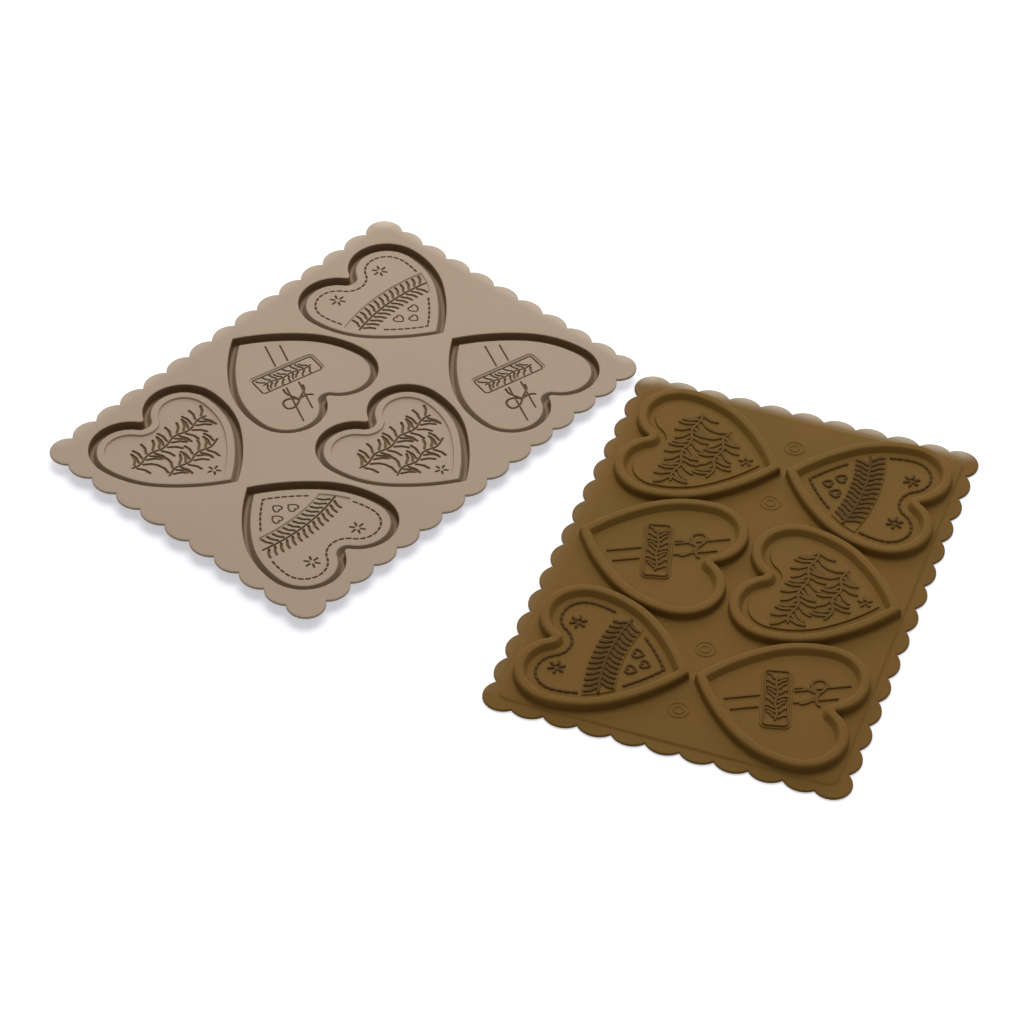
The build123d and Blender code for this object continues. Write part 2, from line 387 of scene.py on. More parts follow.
# %% [markdown]
# The first kind of heart has a second heart sunk into it, with two rows of leafy
# vine across the middle and a small flower in the tip.

# %% Relief of the heart with the inner heart
LEAF_LEAN, LEAF_EVERY, LEAF_WIDTH = 1.1, 4, 1.5
UPPER_STEM, UPPER_LEAF = (-25, 25, 8.5, 1.0, 17.0, 61), 6.9
LOWER_STEM, LOWER_LEAF = (-17, 17, -7.5, 1.0, 15.0, 41), 6.6
TIP_FLOWER, TIP_FLOWER_RADIUS, TIP_PETALS, TIP_TURN = (0.0, -21.0), 3.0, 5, 0.3
FLOWER_WIDTH = 1.2


def stepped_strokes():
    """Two rows of vine on the inner heart and a flower in its tip."""
    strokes = vine(wave(*UPPER_STEM), UPPER_LEAF, LEAF_LEAN, LEAF_WIDTH, LEAF_EVERY)
    strokes += vine(wave(*LOWER_STEM), LOWER_LEAF, LEAF_LEAN, LEAF_WIDTH, LEAF_EVERY)
    flower = ring_of_petals(
        np.array(TIP_FLOWER), TIP_FLOWER_RADIUS, TIP_PETALS, FLOWER_WIDTH, TIP_TURN)
    return strokes + flower


print("inner heart", len(stepped_strokes()), "strokes")

# %% [markdown]
# The second kind has a border of stitches and an arched band with a vine on it.
# The stitches are dashes on a parallel of the rim. Their pitch is worked out from
# the length of the whole line, so that no half stitch is left at the end.

# %% Relief of the heart with the band
STITCH_OFFSET, STITCH_DASH, STITCH_GAP, STITCH_WIDTH = -8.5, 1.9, 1.5, 1.15
BAND_MARGIN, BAND_STEM, BAND_LEAF = 1.4, (0.0, 16.5, 65), 5.4
FLOWERS, FLOWER_RADIUS, PETALS = ((-15.5, 19.5), (15.5, 19.5)), 3.6, 6
SMALL_HEARTS = ((-5.4, -12.6, 5.0), (5.4, -12.6, 5.0), (0.0, -17.6, 4.4))
FINE_WIDTH = 0.9


def stitches(offset, dash, gap, width, skip):
    """Dashes along a parallel of the rim, left out where `skip` says so."""
    loop = heart_loop(offset)
    lengths = np.linalg.norm(np.roll(loop, -1, 0) - loop, axis=1)
    run = np.concatenate(([0.0], np.cumsum(lengths)))
    closed = np.vstack((loop, loop[:1]))
    count = int(run[-1] / (dash + gap))
    pitch = run[-1] / count
    strokes = []
    for i in range(count):
        start = i * pitch + gap / 2
        at = np.linspace(start, start + dash, 3)
        points = np.stack([np.interp(at, run, closed[:, axis]) for axis in (0, 1)], axis=1)
        if not skip(points[1]):
            strokes.append((points, width))
    return strokes


def band_arc(rise, half_angle, count):
    """Points on an arc along the band."""
    a = np.radians(np.linspace(90 + half_angle, 90 - half_angle, count))
    r = BAND_RADIUS + rise
    return np.stack((r * np.cos(a), r * np.sin(a) - BAND_RADIUS), axis=1)


def on_band(point):
    """Whether a point lies on the band or just beside it."""
    rise = math.hypot(point[0], point[1] + BAND_RADIUS) - BAND_RADIUS
    return abs(rise) < BAND_HEIGHT / 2 + BAND_MARGIN


def stitched_strokes():
    """Stitched border, a vine along the band and small flowers."""
    strokes = stitches(STITCH_OFFSET, STITCH_DASH, STITCH_GAP, STITCH_WIDTH, on_band)
    strokes += vine(band_arc(*BAND_STEM), BAND_LEAF, LEAF_LEAN, LEAF_WIDTH, LEAF_EVERY)
    for centre in FLOWERS:
        strokes += ring_of_petals(np.array(centre), FLOWER_RADIUS, PETALS, FLOWER_WIDTH)
    for x, y, size in SMALL_HEARTS:
        strokes += small_heart((x, y), size, FINE_WIDTH)
    return strokes


print("band", len(stitched_strokes()), "strokes")

# %% [markdown]
# The third kind has a blank plaque with a sprig in a thin frame. The plaque is a
# rounded rectangle that is turned a little. Its distance formula is written out,
# because both the ribbon and the relief need to know where the plaque ends.

# %% Plaque
PLAQUE_HALF = (PLAQUE_LENGTH / 2 - PLAQUE_CORNER, PLAQUE_HEIGHT / 2 - PLAQUE_CORNER)
QUADRANTS = ((1, 1), (-1, 1), (-1, -1), (1, -1))
FRAME_INSET = 1.5


def rounded_rectangle(half, radius, steps):
    """Closed outline with a quarter circle round each corner's centre."""
    points = []
    for k, (sx, sy) in enumerate(QUADRANTS):
        for i in range(steps + 1):
            a = math.radians(90 * k + 90 / steps * i)
            points.append((sx * half[0] + radius * math.cos(a), sy * half[1] + radius * math.sin(a)))
    return points


def rectangle_offset(points, half, radius):
    """Distance outside a rounded rectangle, negative inside it."""
    q = np.abs(points) - np.array(half)
    outside = np.linalg.norm(np.maximum(q, 0), axis=1)
    return outside + np.minimum(np.maximum(q[:, 0], q[:, 1]), 0) - radius


def plaque_distance(points):
    """Distance outside the plaque's outline, negative on it."""
    return rectangle_offset(turned(points, -PLAQUE_TURN), PLAQUE_HALF, PLAQUE_CORNER)


def plaque_outline(grow, steps=6):
    """Outline of the plaque, grown outwards."""
    return turned(rounded_rectangle(PLAQUE_HALF, PLAQUE_CORNER + grow, steps), PLAQUE_TURN)


def plaque_frame(inset):
    """Closed line that runs just inside the plaque's outline."""
    line = plaque_outline(-inset, steps=4)
    return np.vstack((line, line[:1]))


print("plaque frame", len(plaque_frame(FRAME_INSET)), "points")

# %% [markdown]
# A ribbon runs across the heart behind the plaque and is tied in a bow. Only its
# two edge lines are moulded. They stop short of the groove and of the plaque, so
# that no two slopes of the mesh cross.

# %% Relief of the heart with the ribbon
RIBBON_LIMIT, PLAQUE_MARGIN = -7.2, 1.0
RIBBON_RUNS, RIBBON_POINTS = ((-60.0, -1.0), (1.0, 60.0)), 120
BOW_PLACE, BOW_SIZE, BOW_WIDTH = (9.5, 17.0), 6.2, 1.3
SPRIG_STEM = (-13.5, 13.5, 0.0, 0.5, 13.0, 37)
SPRIG_LEAF, SPRIG_LEAN, SPRIG_WIDTH = 4.0, 0.95, 1.2


def bow(centre, size, angle, width):
    """Two loops and two tails of a ribbon bow."""
    loops = []
    for sign in (1, -1):
        upper = bezier((0, 0), (sign * 0.5, 1.1), (sign * 1.5, 1.0), (sign * 1.35, 0.1))
        lower = bezier((sign * 1.35, 0.1), (sign * 1.2, -0.5), (sign * 0.5, -0.4), (0, 0))
        tail = bezier((0, 0), (sign * 0.3, -0.5), (sign * 0.9, -0.8), (sign * 0.8, -1.5), 6)
        loops += [upper, lower, tail]
    return [(turned(points * size, angle, centre), width) for points in loops]


def ribbon_strokes():
    """Ribbon lines across the heart, a sprig on the plaque and a bow."""
    strokes = []
    for side in (-RIBBON_WIDTH / 2, RIBBON_WIDTH / 2):
        for run in RIBBON_RUNS:
            along = np.linspace(*run, RIBBON_POINTS)
            across = np.full(RIBBON_POINTS, side)
            line = turned(np.stack((along, across), axis=1), RIBBON_TURN)
            inner = (rim_offset(line) < RIBBON_LIMIT) & (plaque_distance(line) >= PLAQUE_MARGIN)
            if inner.sum() > 2:
                strokes.append((line[inner][[0, -1]], RIBBON_LINE_WIDTH))
    stem = turned(wave(*SPRIG_STEM), PLAQUE_TURN)
    strokes += vine(stem, SPRIG_LEAF, SPRIG_LEAN, SPRIG_WIDTH, LEAF_EVERY)
    strokes.append((plaque_frame(FRAME_INSET), FINE_WIDTH))
    strokes += bow(BOW_PLACE, BOW_SIZE, RIBBON_TURN - 90, BOW_WIDTH)
    return strokes


print("ribbon", len(ribbon_strokes()), "strokes")

# %% [markdown]
# A stroke that reached the groove would meet its wall. Each kind of heart has its
# own limit inside the rim. Strokes beyond it are left out, and a long one keeps
# the part that lies inside.

# %% Keep the strokes inside the heart
STROKE_LIMITS = {"stepped": -9.2, "stitched": -7.5, "ribbon": -7.15}
SHORT_STROKE = 5


def clear_of_border(strokes, limit):
    """Strokes that stay inside the heart, with longer ones trimmed to it."""
    kept = []
    for path, width in strokes:
        inner = rim_offset(path) < limit
        if inner.all():
            kept.append((path, width))
        elif len(path) > SHORT_STROKE and inner.sum() > SHORT_STROKE:
            kept.append((path[inner], width))
    return kept


DRAWN = {"stepped": stepped_strokes, "stitched": stitched_strokes, "ribbon": ribbon_strokes}
STROKES = {kind: clear_of_border(draw(), STROKE_LIMITS[kind]) for kind, draw in DRAWN.items()}
print({kind: len(strokes) for kind, strokes in STROKES.items()})

# %% [markdown]
# A relief is a height that depends on the place: so deep inside a stroke, zero
# outside, and a short slope between, because a moulded wall needs some draft.
# The lower skin follows the upper one, a little wider, like any thin moulding.

# %% Relief as a height
STROKE_DEPTH, STROKE_DRAFT, STEP_DRAFT = 0.8, 0.25, 0.35
BAND_BORDER = -6.8
TINY = 1e-9


def stroke_distance(points, strokes, spread):
    """How deep each point lies inside the nearest stroke's outline."""
    best = np.full(len(points), -FAR)
    for path, width in strokes:
        for a, b in zip(path, path[1:]):
            along = b - a
            t = np.clip((points - a) @ along / max(along @ along, TINY), 0, 1)
            away = np.linalg.norm(points - a - t[:, None] * along, axis=1)
            best = np.maximum(best, width / 2 + spread - away)
    return best


def slope(inside, draft):
    """0 outside, 1 inside, and a straight slope over the draft."""
    return np.clip(inside / draft, 0, 1)


def base_step(kind, points, spread):
    """Depth of the wide steps: inner heart, band or plaque."""
    offset = rim_offset(points)
    border = slope(BAND_BORDER - offset, STEP_DRAFT)
    if kind == "stepped":
        return INNER_HEART_STEP * slope(-INNER_HEART_OFFSET + spread - offset, STEP_DRAFT)
    if kind == "stitched":
        radius = np.hypot(points[:, 0], points[:, 1] + BAND_RADIUS)
        inside = BAND_HEIGHT / 2 + spread - np.abs(radius - BAND_RADIUS)
        return BAND_STEP * slope(inside, STEP_DRAFT) * border
    return PLAQUE_STEP * slope(spread - plaque_distance(points), STEP_DRAFT)


def relief(kind, points, spread):
    """Whole depth of the relief at each point, below the pocket floor."""
    cut = slope(stroke_distance(points, STROKES[kind], spread), STROKE_DRAFT)
    return base_step(kind, points, spread) + STROKE_DEPTH * cut


middle = np.zeros((1, 2))
print("relief in the middle", {kind: round(float(relief(kind, middle, 0.0)[0]), 2) for kind in DRAWN})

# %% [markdown]
# To keep the slopes crisp, the mesh needs edges exactly where they start and
# end. A constrained triangulation does that: the outlines go in as fixed edges
# and the rest is filled with triangles around them.

# %% Outlines that the triangulation must keep
CAP_STEPS = 5
BAND_HALF_ANGLE, BAND_POINTS = 21.0, 60


def stroke_outline(path, half_width):
    """Closed outline round a stroke, with round ends."""
    path = np.array(path)
    ahead = np.gradient(path, axis=0)
    ahead /= np.linalg.norm(ahead, axis=1)[:, None]
    side = np.stack((-ahead[:, 1], ahead[:, 0]), axis=1)
    left, right = path + side * half_width, (path - side * half_width)[::-1]

    def cap(point, direction, sign):
        a0 = math.atan2(direction[1], direction[0]) + math.pi / 2 * sign
        angles = [a0 - math.pi * i / CAP_STEPS for i in range(1, CAP_STEPS)]
        return [point + half_width * np.array((math.cos(a), math.sin(a))) for a in angles]

    return np.vstack((left, cap(path[-1], ahead[-1], 1), right, cap(path[0], ahead[0], -1)))


def relief_outlines(kind, spread):
    """Closed outlines at the top and the foot of every slope of a relief."""
    outlines = []
    for path, width in STROKES[kind]:
        for half_width in (width / 2 + spread, width / 2 + spread - STROKE_DRAFT):
            outlines.append(stroke_outline(path, half_width))
    for draft in (0.0, STEP_DRAFT):
        if kind == "stepped":
            outlines.append(heart_loop(-INNER_HEART_OFFSET + spread - draft))
        if kind == "stitched":
            outlines.append(heart_loop(BAND_BORDER - draft))
        if kind == "ribbon":
            outlines.append(plaque_outline(spread - draft))
    return outlines


def band_lines(kind, spread):
    """The band's two open edges, at the top and the foot of their slopes."""
    if kind != "stitched":
        return []
    rises = [side * (BAND_HEIGHT / 2 + spread - draft)
             for draft in (0.0, STEP_DRAFT) for side in (-1, 1)]
    return [band_arc(rise, BAND_HALF_ANGLE, BAND_POINTS) for rise in rises]


print("outlines", {kind: len(relief_outlines(kind, 0.0)) for kind in STROKES})

# %% [markdown]
# Blender's own triangulation takes points, fixed edges and nothing else, so the
# open ground between outlines would fill with long thin triangles. A loose grid
# of extra points keeps them short and the shading even.

# %% Triangulate between the outlines
MERGE = 1e-5


def grid_points(half_x, half_y, spacing):
    """Loose points that keep the triangles on flat ground from growing long."""
    nx, ny = int(2 * half_x / spacing), int(2 * half_y / spacing)
    x, y = np.meshgrid(np.linspace(-half_x, half_x, nx), np.linspace(-half_y, half_y, ny))
    x = x + (np.arange(ny) % 2)[:, None] * spacing / 2
    return np.stack((x.ravel(), y.ravel()), axis=1)


def triangulate(closed, open_lines, loose):
    """Constrained triangulation; gives points and triangles."""
    points, edges = [], []
    for lines, is_closed in ((closed, True), (open_lines, False)):
        for line in lines:
            first = len(points)
            points.extend(Vector((float(x), float(y))) for x, y in line)
            last = len(points) - 1
            edges.extend((i, i + 1) for i in range(first, last))
            if is_closed:
                edges.append((last, first))
    points.extend(Vector((float(x), float(y))) for x, y in loose)
    result = delaunay_2d_cdt(points, edges, [], 0, MERGE, False)
    return np.array([tuple(p) for p in result[0]]), np.array([tuple(f) for f in result[2]])


def centroids(points, triangles):
    """Middle of each triangle."""
    return points[triangles].mean(axis=1)


TILE_HALF, TILE_GRID = 40, 2.5
print("loose points in a tile", len(grid_points(TILE_HALF, TILE_HALF, TILE_GRID)))

# %% [markdown]
# On the real mat the grooves and the strokes look darker than the flat silicone,
# since light that enters there is caught between the walls. Lamps alone show too
# little of it in such a small relief. So each point of the mesh gets a number
# that says how deep in a groove or a stroke it is, and the material mixes in a
# darker tone by it. A number in the mesh stays in place from every side, but it
# is painted shade, so it stays the same under other lamps too.

# %% Shade in grooves and strokes
# UNDER_SHADE is painted shade on the raised strokes of the underside, strongest on the stitched
# hearts.
UNDER_SHADE = {"stepped": 0.35, "stitched": 0.8, "ribbon": 0.4}
FLOOR_LIGHT = 0.5
FLOOR_HALF_WIDTH, FLOOR_FADE, FLOOR_RISE = 1.5, 0.7, 1.0
LIP_MARGIN, LIP_FADE = 0.05, 0.5
UNDER_SPREAD = 0.2


def smooth(t):
    """Smooth step from 0 to 1."""
    t = np.clip(t, 0, 1)
    return t * t * (3 - 2 * t)


def groove_shade(offset, height):
    """1 on the groove's walls, less on its floor, 0 on the sheet and the pocket."""
    lip = 0.0 if offset > -GROOVE_WIDTH / 2 else -POCKET_DEPTH
    from_middle = abs(offset + GROOVE_WIDTH / 2)
    floor = smooth((FLOOR_HALF_WIDTH - from_middle) / FLOOR_FADE)
    floor *= height < -GROOVE_DEPTH + FLOOR_RISE
    return float(smooth((lip - height - LIP_MARGIN) / LIP_FADE) * (1 - FLOOR_LIGHT * floor))


def stroke_shade(kind, points, spread):
    """1 in a stroke, 0 beside it."""
    return slope(stroke_distance(points, STROKES[kind], spread), STROKE_DRAFT)


print("shade down the groove", [round(groove_shade(*place), 1) for place in top_section[::4]])

# %% [markdown]
# One heart tile is the groove section swept round the rim plus the filled floor
# inside it. Three kinds of heart and two skins make six tiles, and each is
# used twice in a mat, upright or turned round.

# %% Sweep the sections and fill the floors
FLOOR_MARGIN, ARC_MARGIN = 0.8, 0.3


def swept_rings(section, loop_at):
    """Points and quads of a section swept round the loops that `loop_at` gives."""
    points, quads = [], []
    count = len(loop_at(0))
    for ring, (grow, height) in enumerate(section):
        points.extend((x, y, height) for x, y in loop_at(grow))
        if ring:
            low, high = (ring - 1) * count, ring * count
            for i in range(count):
                k = (i + 1) % count
                quads.append((low + i, low + k, high + k, high + i))
    return np.array(points), quads


def floor_patch(kind, edge, level, spread):
    """Filled floor of a pocket, or the same floor seen from below."""
    loops = [heart_loop(edge)] + relief_outlines(kind, spread)
    arcs = [arc[rim_offset(arc) < edge - ARC_MARGIN] for arc in band_lines(kind, spread)]
    loose = grid_points(TILE_HALF, TILE_HALF, TILE_GRID)
    loose = loose[rim_offset(loose) < edge - FLOOR_MARGIN]
    points, triangles = triangulate(loops, arcs, loose)
    triangles = triangles[rim_offset(centroids(points, triangles)) < edge]
    heights = level - relief(kind, points, spread)
    return np.column_stack((points, heights)), [tuple(t) for t in triangles]


print("groove", len(swept_rings(top_section, heart_loop)[1]), "quads")

# %% [markdown]
# The upper and the lower skin of a heart differ only in their section, in the
# level of the floor and in the width of the strokes. Below, the strokes are a
# little wider, because the sheet follows them with its own thickness.

# %% Heart tiles
def heart_tile(kind, skin):
    """All of one heart on one skin: points, faces and the shade of each point."""
    if skin == "top":
        rings, quads = swept_rings(top_section, heart_loop)
        patch, triangles = floor_patch(kind, TOP_PANEL_EDGE, -POCKET_DEPTH, 0.0)
        in_groove = [groove_shade(offset, height) for offset, height in top_section]
        in_stroke = stroke_shade(kind, patch[:, :2], 0.0)
        on_rings = np.repeat(in_groove, len(rings) // len(top_section))
    else:
        rings, quads = swept_rings(under_section, heart_loop)
        patch, triangles = floor_patch(kind, UNDER_PANEL_EDGE, -PANEL_UNDERSIDE, UNDER_SPREAD)
        # The raised strokes below get painted shade too.
        in_stroke = UNDER_SHADE[kind] * stroke_shade(kind, patch[:, :2], UNDER_SPREAD)
        on_rings = np.zeros(len(rings))
    shade = np.concatenate((on_rings, in_stroke))
    shifted = [tuple(i + len(rings) for i in t) for t in triangles]
    return np.vstack((rings, patch)), quads + shifted, shade


tiles = {(kind, skin): heart_tile(kind, skin) for kind in STROKES for skin in ("top", "under")}
print({key: len(tile[1]) for key, tile in tiles.items()})

# %% [markdown]
# Six hearts stand in two rows of three, upright and turned round by turns, which
# packs them closely. Inside its thin fringe the sheet is a little thicker, and
# that thicker field is a rounded rectangle.

# %% Places of the hearts and the thick field
HEARTS = (
    ("stepped", -COLUMN_SPACING, ROW_SPACING / 2, 1),
    ("ribbon", 0.0, ROW_SPACING / 2, -1),
    ("stitched", COLUMN_SPACING, ROW_SPACING / 2, 1),
    ("stitched", -COLUMN_SPACING, -ROW_SPACING / 2, -1),
    ("stepped", 0.0, -ROW_SPACING / 2, 1),
    ("ribbon", COLUMN_SPACING, -ROW_SPACING / 2, -1),
)
FIELD_CORNER = 5.0
FIELD_HALF = (MAT_LENGTH / 2 - FRINGE_WIDTH, MAT_WIDTH / 2 - FRINGE_WIDTH)
FIELD_CENTRES = np.array(FIELD_HALF) - FIELD_CORNER


def nearest_rim(points):
    """Offset from the nearest of the six heart rims."""
    best = np.full(len(points), FAR)
    for kind, x, y, way in HEARTS:
        best = np.minimum(best, rim_offset((points - np.array((x, y))) * way))
    return best


def field_offset(points):
    """Distance outside the thick field's rounded rectangle."""
    return rectangle_offset(points, FIELD_CENTRES, FIELD_CORNER)


def field_outline(grow):
    """Rounded rectangle of the thick field."""
    return np.array(rounded_rectangle(FIELD_CENTRES, FIELD_CORNER + grow, 8))


print("field", np.round(np.array(FIELD_HALF) * 2, 1), "mm")

# %% [markdown]
# The underside carries four pairs of small plain rings, such as the pins of a
# moulding tool can leave behind. They are a height that depends on the place, like
# the relief in the hearts.

# %% Rings on the underside
RING_PLACES = (-93.0, -52.0, 52.0, 93.0)
RING_RADII, RING_WIDTH, RING_HEIGHT = (2.2, 4.5), 1.2, 0.32


def ring_height(points):
    """Low plain rings between the two rows of hearts."""
    height = np.zeros(len(points))
    for x in RING_PLACES:
        for radius in RING_RADII:
            away = np.abs(np.hypot(points[:, 0] - x, points[:, 1]) - radius)
            height = np.maximum(height, RING_HEIGHT * smooth(2 - 4 * away / RING_WIDTH))
    return height


def circle(x, radius):
    """Closed circle round a ring's middle."""
    a = np.linspace(0, 2 * np.pi, 48, endpoint=False)
    return np.stack((x + radius * np.cos(a), radius * np.sin(a)), axis=1)


print(len(RING_PLACES) * len(RING_RADII), "rings")

# %% [markdown]
# The lower skin drops from the thin fringe to the thick field over a soft slope,
# and it swells in a quarter circle at the foot of every ridge. The sum of these
# heights shapes the whole underside between the hearts.

# %% Height of the underside
FIELD_SLOPE = 0.7


def underside_height(points):
    """Height of the lower skin between the hearts."""
    thick = 1 - smooth((field_offset(points) + FIELD_SLOPE) / (2 * FIELD_SLOPE))
    height = -FRINGE_THICKNESS - (FIELD_THICKNESS - FRINGE_THICKNESS) * thick
    foot = np.clip(WALL_THICKNESS + FOOT_RADIUS - nearest_rim(points), 0, FOOT_RADIUS)
    return height - FOOT_RADIUS + np.sqrt(FOOT_RADIUS ** 2 - foot ** 2) - ring_height(points)


print("field below", np.round(underside_height(np.array(((0.0, 0.0),))), 2), "mm")

# %% [markdown]
# The upper skin is flat right to the scalloped edge, with a heart-shaped hole for
# each tile. The lower one has the same holes, and fixed edges wherever its height
# changes. Lines round neighbouring hearts can meet, so only the stretches that
# are nearest to their own heart are kept.

# %% Sheet between the hearts
SHEET_LOOP, FIELD_LOOP = 2.0, 1.2
FOOT_STEPS, OWN_SHARE = (0.2, 0.45, FOOT_RADIUS), 0.9
SLOPE_STEPS = (-FIELD_SLOPE, -0.25, 0.25, FIELD_SLOPE)
RING_STEPS = (-0.5, -0.25, 0.25, 0.5)
SHEET_MARGIN, GRID_INSET, SHEET_GRID = 1.5, 2, 4.0


def placed(loop, heart):
    """A heart loop moved to its place on the mat."""
    kind, x, y, way = heart
    return loop * way + np.array((x, y))


def runs_of(points, keep):
    """The stretches of a closed line whose points are kept."""
    runs, run = [], []
    for point, good in zip(np.vstack((points, points[:1])), np.append(keep, keep[0])):
        if good:
            run.append(point)
        elif run:
            runs.append(run)
            run = []
    if run:
        runs.append(run)
    return [np.array(run) for run in runs if len(run) > 1]


def within_outline(points, outline):
    """Which points lie inside a closed outline, by counting crossings."""
    x, y = points[:, 0], points[:, 1]
    inside = np.zeros(len(points), dtype=bool)
    for (x0, y0), (x1, y1) in zip(outline, np.roll(outline, -1, axis=0)):
        crosses = (y0 > y) != (y1 > y)
        with np.errstate(divide="ignore", invalid="ignore"):
            at = x0 + (y - y0) * (x1 - x0) / (y1 - y0)
        inside ^= crosses & (x < at)
    return inside


def sheet_patch(skin):
    """The flat sheet of one skin, with six heart-shaped holes."""
    edge = TOP_SHEET_EDGE if skin == "top" else UNDER_SHEET_EDGE
    outline = scallop_loop(2 * EDGE_ROUND)
    loops = [outline] + [placed(heart_loop(edge), heart) for heart in HEARTS]
    loops += [scallop_loop(SHEET_LOOP), field_outline(FIELD_LOOP)]
    lines = []
    if skin == "under":
        for step, heart in product(FOOT_STEPS, HEARTS):
            foot = placed(heart_loop(edge + step), heart)
            lines += runs_of(foot, nearest_rim(foot) > edge + step * OWN_SHARE)
        loops += [field_outline(grow) for grow in SLOPE_STEPS]
        for x, radius in product(RING_PLACES, RING_RADII):
            loops += [circle(x, radius + RING_WIDTH * step) for step in RING_STEPS]
    loose = grid_points(FIELD_HALF[0] - GRID_INSET, FIELD_HALF[1] - GRID_INSET, SHEET_GRID)
    loose = loose[nearest_rim(loose) > edge + SHEET_MARGIN]
    points, triangles = triangulate(loops, lines, loose)
    middles = centroids(points, triangles)
    inside = (nearest_rim(middles) > edge) & within_outline(middles, outline)
    heights = np.zeros(len(points)) if skin == "top" else underside_height(points)
    return np.column_stack((points, heights)), [tuple(t) for t in triangles[inside]]


skins = [sheet_patch("top"), sheet_patch("under")]
print("sheet", [len(faces) for points, faces in skins], "triangles")

# %% [markdown]
# All patches are gathered in one list. The rounded scalloped edge joins the two
# skins of the sheet, and it is swept by the same helper as the grooves.

# %% Gather the patches
def gather():
    """Points, faces and shades of the whole mat."""
    edge = swept_rings(edge_section, scallop_loop)
    parts = [(points, faces, np.zeros(len(points))) for points, faces in [edge] + skins]
    for kind, x, y, way in HEARTS:
        for skin in ("top", "under"):
            points, faces, shade = tiles[(kind, skin)]
            moved = points * np.array((way, way, 1)) + np.array((x, y, 0))
            parts.append((moved, faces, shade))
    faces, start = [], 0
    for part_points, part_faces, shade in parts:
        faces += [tuple(i + start for i in face) for face in part_faces]
        start += len(part_points)
    shades = np.concatenate([part[2] for part in parts])
    return np.vstack([part[0] for part in parts]), faces, shades


mat_points, mat_faces, mat_shade = gather()
print("gathered", len(mat_points), "points,", len(mat_faces), "faces")

# %% [markdown]
# The points on shared borders are merged, which leaves a single closed skin. The
# cell counts edges that don't have two faces: none may be left, because the
# piece must be a closed solid.

# %% Build the closed mesh
MERGE_DISTANCE, SLIVER = 0.004, 0.001


def store(mesh, name, values):
    """One number per point, kept in the mesh for the material."""
    attribute = mesh.attributes.new(name, "FLOAT", "POINT")
    attribute.data.foreach_set("value", np.asarray(values, dtype=np.float32))


def build_mat_mesh(name):
    """Closed mesh of one mat, in metres, in the mould's own frame."""
    mesh = bpy.data.meshes.new(name)
    mesh.from_pydata([tuple(p * MM) for p in mat_points], [], mat_faces)
    store(mesh, "shade", mat_shade)
    work = bmesh.new()
    work.from_mesh(mesh)
    bmesh.ops.remove_doubles(work, verts=work.verts, dist=MERGE_DISTANCE * MM)
    bmesh.ops.dissolve_degenerate(work, edges=work.edges, dist=SLIVER * MM)
    loose = [v for v in work.verts if not v.link_faces]
    bmesh.ops.delete(work, geom=loose, context="VERTS")
    bmesh.ops.recalc_face_normals(work, faces=work.faces)
    open_edges = sum(1 for e in work.edges if len(e.link_faces) != 2)
    work.to_mesh(mesh)
    work.free()
    print(name, len(mesh.vertices), "points,", len(mesh.polygons), "faces,", open_edges, "open edges")
    return mesh


mat_mesh = build_mat_mesh("mat")

# %% [markdown]
# Silicone that comes out of a metal tool is smooth over its curves, and still
# crisp where a small step was cut. Smooth shading alone would blur those
# steps, so edges that turn by more than the angle below stay sharp.

# %% Smooth shading
SHARP_ANGLE = math.radians(32)
mat_mesh.shade_smooth()
mat_mesh.set_sharp_from_angle(angle=SHARP_ANGLE)
print("sharp above", round(math.degrees(SHARP_ANGLE)), "degrees")

# %% [markdown]
# The fringe on the window's side looks paler, probably because light gets through
# silicone that is so thin. A deep subsurface setting would wash out the fine
# relief as well. Instead each point gets a second number, high on the fringe where
# it faces the window, and the material mixes in a pale tone by it: painted light.
# It is painted and not lit, so it stays the same when the lamps are changed.

# %% Painted light on thin edges
WINDOW_TURN = math.radians(50.39)
window_dir = Vector((math.sin(WINDOW_TURN), math.cos(WINDOW_TURN), 0))
EDGE_GLOW, EDGE_START = 7.6, 3.0
SHORTEST = 1e-6


def edge_light(mesh, transform):
    """How much painted light each point gets on the thin edge that faces the window."""
    flat = np.empty(len(mesh.vertices) * 3)
    mesh.vertices.foreach_get("co", flat)
    points = flat.reshape(-1, 3)[:, :2] / MM
    over = np.maximum(np.abs(points) - np.array(FIELD_HALF) + EDGE_START, 0) * np.sign(points)
    over = over / np.maximum(np.linalg.norm(over, axis=1), SHORTEST)[:, None]
    local = transform.to_3x3().inverted() @ window_dir
    facing = np.clip(over @ np.array((local.x, local.y)), 0, 1)
    return smooth(1 - (FRINGE_WIDTH - field_offset(points)) / EDGE_GLOW) * facing ** 2


print("window direction", [round(value, 2) for value in window_dir])

# %% [markdown]
# The same mesh serves both mats. The first is only lifted, so that the walls of
# its grooves stand on the table. The second is turned over and round. Each mat
# rides on its own body of the CAD model and takes the place of that body's solid.

# %% Place both mats
def mat_object(name, transform, body, node):
    """One mat with its place in its mesh, riding on its body."""
    mesh = mat_mesh.copy()
    mesh.name = name
    store(mesh, "edge_light", edge_light(mesh, transform))
    mesh.transform(transform)
    piece = bpy.data.objects.new(name, mesh)
    bpy.context.scene.collection.objects.link(piece)
    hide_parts(node)
    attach(piece, body)
    print(name, len(mesh.polygons), "faces")
    return piece


first_middle = Vector((first_low + first_high) / 2 * MM)
second_middle = Vector((second_low + second_high) / 2 * MM)
lift = Matrix.Translation((first_middle.x, first_middle.y, MAT_HEIGHT * MM))
turn_over = Matrix.Rotation(math.pi, 4, "X")
swing = Matrix.Rotation(math.radians(SECOND_MAT_TURN), 4, "Z")
lay = Matrix.Translation((second_middle.x, second_middle.y, 0)) @ swing @ turn_over

taupe_mat = mat_object("taupe_mat", lift, "first_mat", "mat_cavities_up")
brown_mat = mat_object("brown_mat", lay, "second_mat", "mat_face_down")

# %% [markdown]
# The pigment in silicone is never quite even. A noise texture that drifts between
# two close tones gives that, with much finer specks on top. Both mats need it in
# their own colours, so it is a node group with named inputs, built once.

